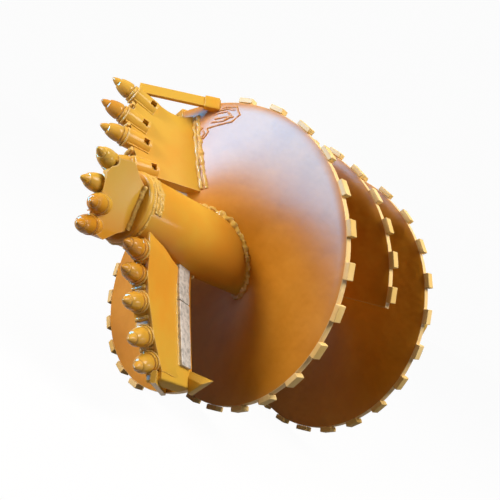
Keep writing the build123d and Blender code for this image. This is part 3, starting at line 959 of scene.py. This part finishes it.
def shaped_box(point_at, cuts, rounding, lumps):
    """Box whose corners and cuts go where a function of three shares, each from 0 to 1, puts them."""
    bpy.ops.mesh.primitive_cube_add(size=1, location=(0.5, 0.5, 0.5))
    box = bpy.context.object
    bpy.ops.object.transform_apply(location=True, rotation=False, scale=False)
    edit(box)
    bpy.ops.mesh.subdivide(number_cuts=cuts)
    leave_edit()
    for vertex in box.data.vertices:
        vertex.co = point_at(*vertex.co)
    face_outward(box)
    add_bevel(box, rounding, BOX_EDGE_ANGLE)
    add_lumps(box, "plate_lumps", lumps)
    apply_modifiers(box)
    return box


def strip_point(flight, place, share, offset, above=0.0):
    """Point of a bare strip by its place along the cutter, share of its width and offset."""
    foot = flight_height(flight, place, -CUTTER_LEADING) + STRIP_LIFT
    width = STRIP_WIDTH + STRIP_TAPER * (STRIP_SPANS[-1][1] - place)
    return cutter_point(flight, place, foot + width * share + above, offset)


def strip_bar(flight, first, last, face):
    """Bare bar between two places along the cutter, lumpy as hard-facing is."""

    def point_at(run, rise, depth):
        place = first + (last - first) * run
        return strip_point(flight, place, rise, face - STRIP_THICKNESS * depth)

    return shaped_box(point_at, cuts=5, rounding=0.0015, lumps=0.003)


def sleeve_filler(flight, inner, outer):
    """Weld-built saddle between two neighbouring sleeves, clear of their bores."""

    def point_at(run, drop, depth):
        sink = FILLER_DROP + FILLER_DEPTH * drop + FILLER_SAG * math.sin(math.pi * run)
        near = sleeve_point(inner, sink, SLEEVE_RADIUS - FILLER_OVERLAP)
        far = sleeve_point(outer, sink, FILLER_OVERLAP - SLEEVE_RADIUS)
        place = near[0] + (far[0] - near[0]) * run
        height = near[1] + (far[1] - near[1]) * run
        ahead = inner[3] + (outer[3] - inner[3]) * run
        offset = -ahead - FILLER_FRONT + FILLER_THICKNESS * depth
        return cutter_point(flight, place, height, offset)

    return shaped_box(point_at, cuts=4, rounding=0.003, lumps=0.004)


def cheek_box(flight):
    """Weld-built mass that closes the lower cutter's outer side, from the last sleeve to the rim."""

    def point_at(run, rise, depth):
        inner = CHEEK_INNER[0] + (CHEEK_INNER[1] - CHEEK_INNER[0]) * rise
        outer = CHEEK_OUTER[0] + (CHEEK_OUTER[1] - CHEEK_OUTER[0]) * rise
        offset = -CUTTER_LEADING - FACING_PROUD + CHEEK_THICKNESS * depth
        return cutter_point(flight, inner + (outer - inner) * run, CHEEK_HEIGHT * rise, offset)

    return shaped_box(point_at, cuts=5, rounding=0.012, lumps=0.007)


def bar_block():
    """Block round the rear end of the upper gauge bar."""
    first, last = BAR_BLOCK_SPAN
    front = Vector(BAR_FRONT)
    run_axis = (Vector(BAR_BACK) - front).normalized()
    out_axis = Vector((1, 0, 0))
    side_axis = run_axis.cross(out_axis)

    def point_at(run, side, out):
        along = run_axis * (first + (last - first) * run)
        aside = BAR_THICKNESS / 2 + (BAR_BLOCK_WIDTH - BAR_PROUD) * (side - 0.5)
        across = side_axis * aside + out_axis * BAR_BLOCK_WIDTH * (out - 0.5)
        return front + along + across

    return shaped_box(point_at, cuts=3, rounding=0.003, lumps=0.001)


def facing_point(flight, sleeves, column, share):
    """Point of the lower facing by its column, from the tube to the rim, and its share up the face."""
    number = min(max(column - 1, 0), len(sleeves) - 1)
    sleeve = sleeves[number]
    aside = SLEEVE_RADIUS if column > len(sleeves) - 1 else 0.0
    top_place, top_height = sleeve_point(sleeve, FACING_DROP, aside)
    low_place = FACING_FOOT[column]
    low_height = flight_height(flight, low_place, -CUTTER_LEADING) + STRIP_WIDTH * FACING_START
    proud = sleeve[3] + SLEEVE_RADIUS - CUTTER_LEADING - FACING_PROUD
    place = low_place + (top_place - low_place) * share
    height = low_height + (top_height - low_height) * share
    swell = min(share * FACING_SWELL, 1.0)
    offset = -CUTTER_LEADING + FACING_PROUD - (proud + FACING_PROUD) * swell
    if column == 0:
        place = tube_side(flight, height, offset, FACING_THICKNESS)
    return cutter_point(flight, place, height, offset)


def facing_piece(flight, sleeves, sizes):
    """Thin plate over the leading side of a row of sleeves."""
    columns = len(sleeves) + 1
    bpy.ops.mesh.primitive_grid_add(x_subdivisions=columns, y_subdivisions=FACING_ROWS, size=1)
    piece = bpy.context.object
    for vertex in piece.data.vertices:
        column = round((vertex.co.x + 0.5) * columns)
        vertex.co = facing_point(flight, sleeves, column, vertex.co.y + 0.5)
    wall = piece.modifiers.new("plate", "SOLIDIFY")
    wall.thickness = FACING_THICKNESS
    wall.offset = 0.0
    add_bevel(piece, sizes.edge_round, BOX_EDGE_ANGLE)
    apply_modifiers(piece)
    face_outward(piece)
    return piece


def join_pieces(pieces, name):
    """Joins pieces into one with a name."""
    deselect_all()
    for piece in pieces:
        piece.select_set(True)
    bpy.context.view_layer.objects.active = pieces[0]
    bpy.ops.object.join()
    pieces[0].name = name
    return pieces[0]


class AUGER_OT_flights(bpy.types.Operator):
    """Turn the two helical flights from rounded plate sections"""

    bl_idname = "auger.flights"
    bl_label = "Flights"

    def execute(self, context):
        deselect_all()
        sizes = context.scene.auger_sizes
        for name, flight in FLIGHTS.items():
            piece = flight_section(name + "_flight", sizes)
            turn_section(piece, flight, sizes)
            cut_leading_edge(piece, flight, sizes)
            nodes = sorted(node for node in frame["nodes"] if node.startswith("flight_" + name))
            settle(piece, AUGER, finish_material("gloss_ochre"), BODY, nodes)
        return {"FINISHED"}


class AUGER_OT_weldments(bpy.types.Operator):
    """Round the edges of the tube, plates, sleeves, blocks and drive box"""

    bl_idname = "auger.weldments"
    bl_label = "Tube, Plates and Blocks"

    def execute(self, context):
        skipped = ("flight_", "tooth_", "edge_strips_")
        for node in sorted(frame["nodes"]):
            if node.startswith(skipped):
                continue
            special = [width for start, width in ROUNDING.items() if node.startswith(start)]
            width = special[0] if special else context.scene.auger_sizes.edge_round
            # Wear blocks get the pale paint that stands for their highlight
            kind = "block_painted_highlight" if node.startswith("wear_blocks") else "plate_ochre"
            rounded_copy(node, width, finish_material(kind))
        return {"FINISHED"}


class AUGER_OT_strips(bpy.types.Operator):
    """Model the bare hard-faced strips at the foot of the cutters, with their weld beads"""

    bl_idname = "auger.strips"
    bl_label = "Bare Strips"

    def execute(self, context):
        deselect_all()
        beads = []
        face = -CUTTER_LEADING - STRIP_GAP
        above = context.scene.auger_sizes.bead_radius * STRIP_BEAD_RISE
        inner_end = STRIP_SPANS[0][0]
        for name, flight in FLIGHTS.items():
            bars = []
            for span in STRIP_SPANS:
                bars.append(strip_bar(flight, *span, face))
                top = [strip_point(flight, place, 1.0, face, above) for place in span]
                beads.append(bead("strip_top", top))
            end = [strip_point(flight, inner_end, share, face) for share in (0.0, 1.0)]
            beads.append(bead("strip_end", end))
            node = "edge_strips_" + CUTTER_NAMES[name]
            piece = join_pieces(bars, node + "_finish")
            smooth(piece)
            settle(piece, AUGER, finish_material("bare_strip"), BODY, (node,))
        lay_beads("strip_welds", beads, "weld_ochre")
        return {"FINISHED"}


class AUGER_OT_facing(bpy.types.Operator):
    """Fair the lower cutter's leading face, fill between its sleeves, and add the upper bar's block"""

    bl_idname = "auger.facing"
    bl_label = "Lower Facing"

    def execute(self, context):
        deselect_all()
        flight = FLIGHTS["second"]
        sleeves = SLEEVES["second"]
        piece = facing_piece(flight, sleeves, context.scene.auger_sizes)
        piece.name = "lower_facing"
        smooth(piece, 40.0)
        settle(piece, AUGER, finish_material("plate_ochre"), BODY)
        fillers = [sleeve_filler(flight, *pair) for pair in zip(sleeves, sleeves[1:])]
        fillers += [cheek_box(flight), bar_block()]
        piece = join_pieces(fillers, "cutter_fillers")
        smooth(piece, 50.0)
        settle(piece, AUGER, finish_material("dull_ochre"), BODY)
        return {"FINISHED"}


class AUGER_OT_teeth(bpy.types.Operator):
    """Turn one bullet tooth and set a copy in every sleeve"""

    bl_idname = "auger.teeth"
    bl_label = "Bullet Teeth"

    def execute(self, context):
        deselect_all()
        radius, height = TOOTH_OUTLINE[0]
        bpy.ops.mesh.primitive_circle_add(
            vertices=TOOTH_SIDES, radius=radius, location=(0, 0, height), fill_type="NGON"
        )
        model = context.object
        bpy.ops.object.transform_apply(location=True)
        edit(model)
        for next_radius, next_height in TOOTH_OUTLINE[1:]:
            move = {"value": (0, 0, next_height - height)}
            bpy.ops.mesh.extrude_region_move(TRANSFORM_OT_translate=move)
            growth = next_radius / radius
            bpy.ops.transform.resize(value=(growth, growth, 1), center_override=(0, 0, next_height))
            radius, height = next_radius, next_height
        leave_edit()
        face_outward(model)
        smooth(model, 50.0)
        material = finish_material("tooth_ochre")
        for joint in frame["joints"]:
            body = joint["child"]
            tooth = bpy.data.objects.new(body + "_finish", model.data.copy())
            context.scene.collection.objects.link(tooth)
            turn = Vector(joint["axis"]).to_track_quat("Z", "Y").to_matrix().to_4x4()
            place = Matrix.Translation(joint["pos_m"]) @ turn
            settle(tooth, place, material, body, (body,))
        bpy.data.objects.remove(model)
        return {"FINISHED"}


class AUGER_OT_flight_welds(bpy.types.Operator):
    """Lay the heavy beads that join the flights to the tube, and the stray weld on the main flight"""

    bl_idname = "auger.flight_welds"
    bl_label = "Flight Welds"

    def execute(self, context):
        deselect_all()
        sizes = context.scene.auger_sizes
        roots = []
        for flight in FLIGHTS.values():
            first = flight["start"] + ROOT_BEAD_ENDS[0]
            last = flight["end"] - ROOT_BEAD_ENDS[1]
            for axial in (0.0, sizes.flight_thickness):
                points = helix_points(flight, TUBE_RADIUS + ROOT_BEAD_GAP, first, last, axial)
                roots.append(bead("root", points))
        lay_beads("flight_welds", roots, "weld_ochre")
        stray = []
        for line in STRAY_WELDS:
            points = [polar(reach, clock, sizes.flight_lead * clock / 360) for reach, clock in line]
            stray.append(bead("stray", points))
        lay_beads("stray_welds", stray, "gloss_ochre")
        return {"FINISHED"}


class AUGER_OT_cutter_welds(bpy.types.Operator):
    """Lay the beads at the foot of the cutters, along and round their sleeves, and between them"""

    bl_idname = "auger.cutter_welds"
    bl_label = "Cutter Welds"

    def execute(self, context):
        deselect_all()
        radius = context.scene.auger_sizes.bead_radius
        welds = []
        rings = []
        fillets = []
        for name, flight in FLIGHTS.items():
            for row in FOOT_ROWS:
                offset = CUTTER_TRAILING + radius * row
                foot = [(place, flight_height(flight, place, offset)) for place in FOOT_PLACES]
                points = [cutter_point(flight, place, height, offset) for place, height in foot]
                welds.append(bead("foot", points))
            sleeves = SLEEVES[name]
            for sleeve in sleeves:
                rings.append(bead("ring", sleeve_ring(flight, sleeve, RING_DROP, SLEEVE_RADIUS)))
                for side in (-1, 1):
                    line = sleeve_side(flight, sleeve, side, CUTTER_TRAILING)
                    fillets.append(bead("fillet", line))
            for inner, outer in zip(sleeves, sleeves[1:]):
                welds.append(bead("saddle", saddle_line(flight, inner, outer)))
        lay_beads("sleeve_fillets", fillets, "plate_ochre")
        lay_beads("sleeve_rings", rings, "weld_ochre")
        lay_beads("cutter_welds", welds, "weld_ochre")
        return {"FINISHED"}


class AUGER_OT_pilot_welds(bpy.types.Operator):
    """Lay the beads round the tube's cap and along the pilot's root"""

    bl_idname = "auger.pilot_welds"
    bl_label = "Pilot Welds"

    def execute(self, context):
        deselect_all()
        beads = [bead("cap", ring_points(TUBE_RADIUS - CAP_BEAD_SINK, -TUBE_FRONT))]
        for row in CAP_PATCH_ROWS:
            arc = ring_points(TUBE_RADIUS - CAP_PATCH_SINK, -TUBE_FRONT + row, *CAP_PATCH_CLOCK)
            beads.append(bead("cap_patch", arc))
        places = [PILOT_ROOT_HALF * share for share in (-1.0, 0.0, 1.0)]
        root = [pilot_point(place, PILOT_BEAD_RISE, PILOT_FACE) for place in places]
        beads.append(bead("pilot_root", root))
        lay_beads("pilot_welds", beads, "weld_ochre")
        return {"FINISHED"}


class AUGER_OT_stage(bpy.types.Operator):
    """Set the floor, the lights, the world and the camera"""

    bl_idname = "auger.stage"
    bl_label = "Stage"

    def execute(self, context):
        deselect_all()
        stage = context.scene.auger_stage
        context.scene.view_settings.view_transform = "Standard"
        make_floor(stage)
        make_world(context.scene, stage)
        middle = Vector((START_X, AXIS_Y, AXIS_Z))
        for name, place, width, height, share, colour in SOFTBOXES:
            power = stage.key_power * share
            lamp = add_softbox(name, middle + Vector(place), middle, (width, height), power)
            lamp.data.color = colour
            lamp.visible_diffuse = name not in REFLECTED_ONLY
            lamp.visible_glossy = name not in UNREFLECTED
        make_camera(context.scene, stage, middle)
        return {"FINISHED"}


def pale_rays(nodes):
    """One for the rays that see the pale backdrop: from the camera, in reflections and through glass."""
    path = nodes.add("ShaderNodeLightPath")
    rays = path.outputs["Is Camera Ray"]
    for kind in ("Is Glossy Ray", "Is Transmission Ray"):
        rays = calculate(nodes, "MAXIMUM", rays, path.outputs[kind])
    return rays


def make_floor(stage):
    """Pale floor that keeps the shadow and reads as white from the camera."""
    bpy.ops.mesh.primitive_plane_add(size=stage.floor_size)
    floor = bpy.context.object
    floor.name = "floor"
    material = bpy.data.materials.new("pale_floor")
    nodes = empty_tree(material)
    seen = calculate(nodes, "MULTIPLY", pale_rays(nodes), FLOOR_SEEN)
    matt = nodes.add("ShaderNodeBsdfDiffuse", {"Color": FLOOR_COLOUR})
    glow = nodes.add("ShaderNodeEmission", {"Color": WHITE, "Strength": FLOOR_GLOW})
    blend = nodes.add("ShaderNodeMixShader", {0: seen, 1: matt.outputs[0], 2: glow.outputs[0]})
    nodes.add("ShaderNodeOutputMaterial", {"Surface": blend.outputs[0]})
    floor.data.materials.append(material)


def make_world(scene, stage):
    """Soft light all round, seen as white by the camera and in reflections."""
    world = bpy.data.worlds.new("pale_studio")
    nodes = empty_tree(world)
    seen = pale_rays(nodes)
    white = nodes.add("ShaderNodeBackground", {"Color": WHITE, "Strength": BACKDROP_WHITE})
    soft = nodes.add("ShaderNodeBackground", {"Color": SKY_COLOUR, "Strength": stage.sky_strength})
    blend = nodes.add("ShaderNodeMixShader", {0: seen, 1: soft.outputs[0], 2: white.outputs[0]})
    nodes.add("ShaderNodeOutputWorld", {"Surface": blend.outputs[0]})
    scene.world = world


def add_softbox(name, place, target, size, power):
    """Rectangular area lamp aimed at a point."""
    data = bpy.data.lights.new(name, "AREA")
    data.shape = "RECTANGLE"
    data.energy = power
    data.size, data.size_y = size
    lamp = bpy.data.objects.new(name, data)
    lamp.location = place
    lamp.rotation_euler = (target - place).to_track_quat("-Z", "Y").to_euler()
    bpy.context.scene.collection.objects.link(lamp)
    return lamp


def make_camera(scene, stage, middle):
    """Camera at the viewing angle of the reference, rolled as it was held."""
    right = Vector(CAMERA_RIGHT).normalized()
    forward = Vector(CAMERA_FORWARD).normalized()
    up = right.cross(forward).normalized()
    right = forward.cross(up)
    data = bpy.data.cameras.new("camera")
    data.lens = stage.lens
    camera = bpy.data.objects.new("camera", data)
    turn = Matrix((right, up, -forward)).transposed()
    camera.matrix_world = Matrix.Translation(middle + Vector(stage.camera_offset)) @ turn.to_4x4()
    scene.collection.objects.link(camera)
    scene.camera = camera


STEPS = (
    AUGER_OT_flights,
    AUGER_OT_weldments,
    AUGER_OT_strips,
    AUGER_OT_facing,
    AUGER_OT_teeth,
    AUGER_OT_flight_welds,
    AUGER_OT_cutter_welds,
    AUGER_OT_pilot_welds,
    AUGER_OT_stage,
)


class AUGER_PT_panel(bpy.types.Panel):
    """Steps of the auger's finish"""

    bl_idname = "AUGER_PT_panel"
    bl_label = "Rock Auger"
    bl_space_type = "VIEW_3D"
    bl_region_type = "UI"
    bl_category = "Auger"

    def draw(self, context):
        for step in STEPS:
            self.layout.operator(step.bl_idname)
        for group in GROUPS:
            settings = getattr(context.scene, group)
            box = self.layout.box()
            for name in settings.__annotations__:
                box.prop(settings, name)


GROUPS = {"auger_sizes": AugerSizes, "auger_finish": AugerFinish, "auger_stage": AugerStage}


def register():
    """Registers the settings, the operators and the panel."""
    for group in GROUPS.values():
        bpy.utils.register_class(group)
    for step in STEPS:
        bpy.utils.register_class(step)
    bpy.utils.register_class(AUGER_PT_panel)
    for name, group in GROUPS.items():
        setattr(bpy.types.Scene, name, bpy.props.PointerProperty(type=group))


def unregister():
    """Removes what register added."""
    for name in GROUPS:
        delattr(bpy.types.Scene, name)
    for item in (AUGER_PT_panel, *reversed(STEPS), *GROUPS.values()):
        bpy.utils.unregister_class(item)


def main():
    """Builds the finish in order."""
    register()
    bpy.ops.auger.flights()
    bpy.ops.auger.weldments()
    bpy.ops.auger.strips()
    bpy.ops.auger.facing()
    bpy.ops.auger.teeth()
    bpy.ops.auger.flight_welds()
    bpy.ops.auger.cutter_welds()
    bpy.ops.auger.pilot_welds()
    bpy.ops.auger.stage()


if __name__ == "__main__":
    main()
